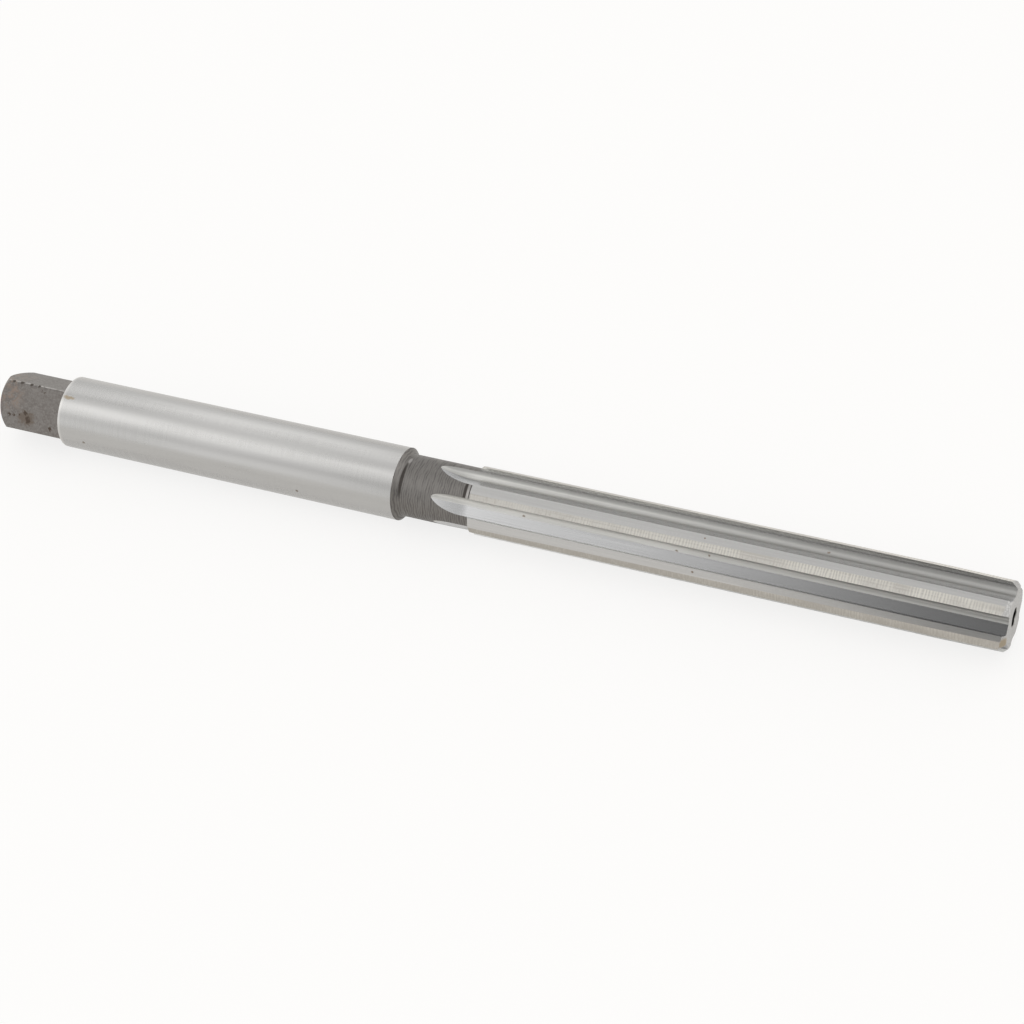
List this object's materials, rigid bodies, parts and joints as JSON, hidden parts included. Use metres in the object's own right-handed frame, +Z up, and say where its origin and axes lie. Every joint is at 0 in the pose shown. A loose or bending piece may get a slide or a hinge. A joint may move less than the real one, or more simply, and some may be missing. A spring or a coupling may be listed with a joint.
{
  "type": "hand reamer",
  "caption": "Straight-fluted hand reamer with a ground shank, turned neck and square wrench tang, lying on its side.",
  "frame": {"origin": "middle of the overall length, on the surface the tool lies on, straight below its axis", "axes": "+X along the axis towards the cutting end, +Z up, with the tool lying on its shank and on two teeth"},
  "size_m": [0.1142, 0.0078, 0.0079],
  "materials": {
    "tool_steel": "bare high-speed steel: ground bright on the shank and teeth, duller on the neck and the square"
  },
  "bodies": {
    "root": {"hand_reamer": "tool_steel"}
  },
  "joints": []
}
